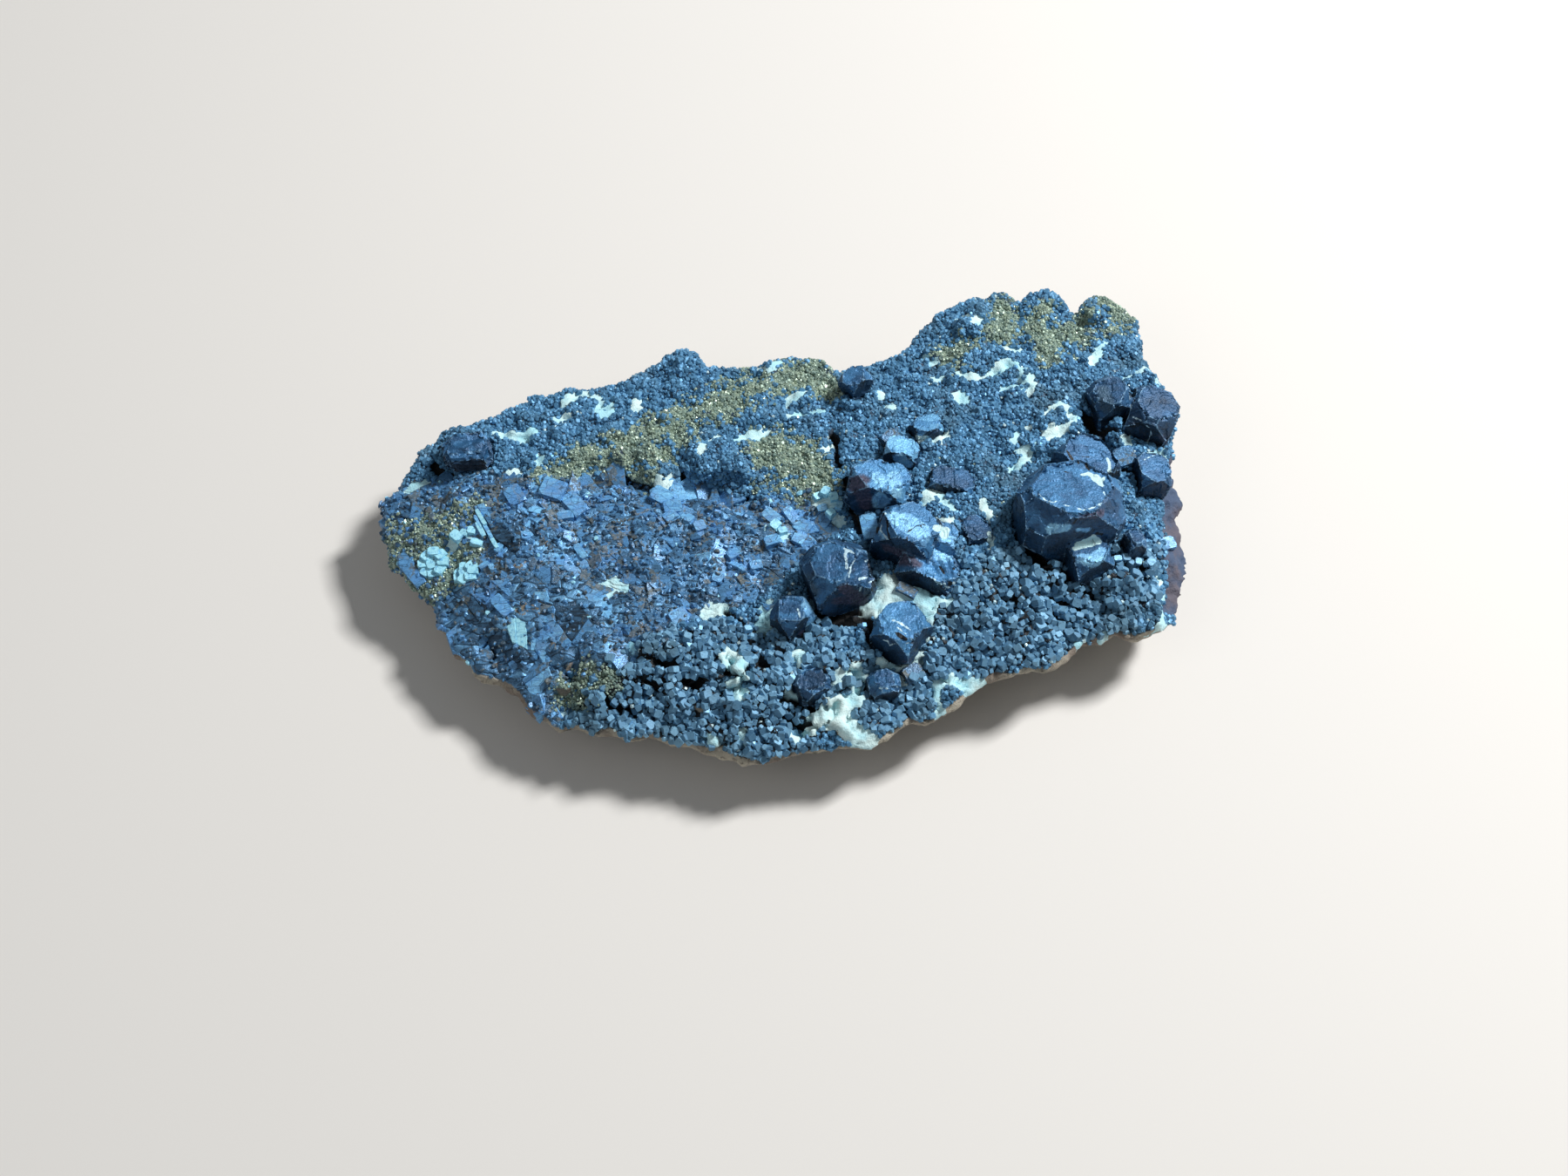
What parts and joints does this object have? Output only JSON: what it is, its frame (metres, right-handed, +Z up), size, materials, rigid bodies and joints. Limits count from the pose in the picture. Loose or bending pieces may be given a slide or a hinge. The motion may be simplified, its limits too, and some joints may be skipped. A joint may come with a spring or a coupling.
{
  "type": "galena with pyrite",
  "caption": "Hand specimen: a ragged plate of rock under a crust of small galena and pyrite, with larger blocky galena crystals standing on it; it rests on a small flat spot.",
  "frame": {"origin": "on the ground plane, at the middle of the specimen's bounding box seen from above", "axes": "+Z up out of the crystal-covered face, +X along the plate from its rounded broken end towards the end with the largest crystals, +Y from the front rim to the back rim"},
  "size_m": [0.1, 0.066, 0.0196],
  "materials": {
    "galena_crust": "slate-blue crust of small metallic galena crystals with olive-brass pyrite and pale rock showing through, and bare pale-brown rock below",
    "galena": "lead-grey galena with a blue sheen, smooth cleavage faces with a metallic lustre and duller etched sides"
  },
  "bodies": {
    "root": {"matrix": "galena_crust", "largest_galena_group": "galena", "galena_by_the_largest": "galena", "upper_right_galena_pair": "galena", "right_rim_galena": "galena", "galena_behind_the_middle": "galena", "middle_galena_group": "galena", "bladed_galena": "galena", "small_front_galena": "galena", "galena_on_pale_rock": "galena", "round_front_galena": "galena", "front_rim_galena": "galena", "part_buried_galena": "galena", "smooth_galena_slab": "galena", "bright_faced_galena": "galena", "pale_faced_galena": "galena", "back_galena": "galena", "left_rim_galena": "galena"}
  },
  "joints": []
}
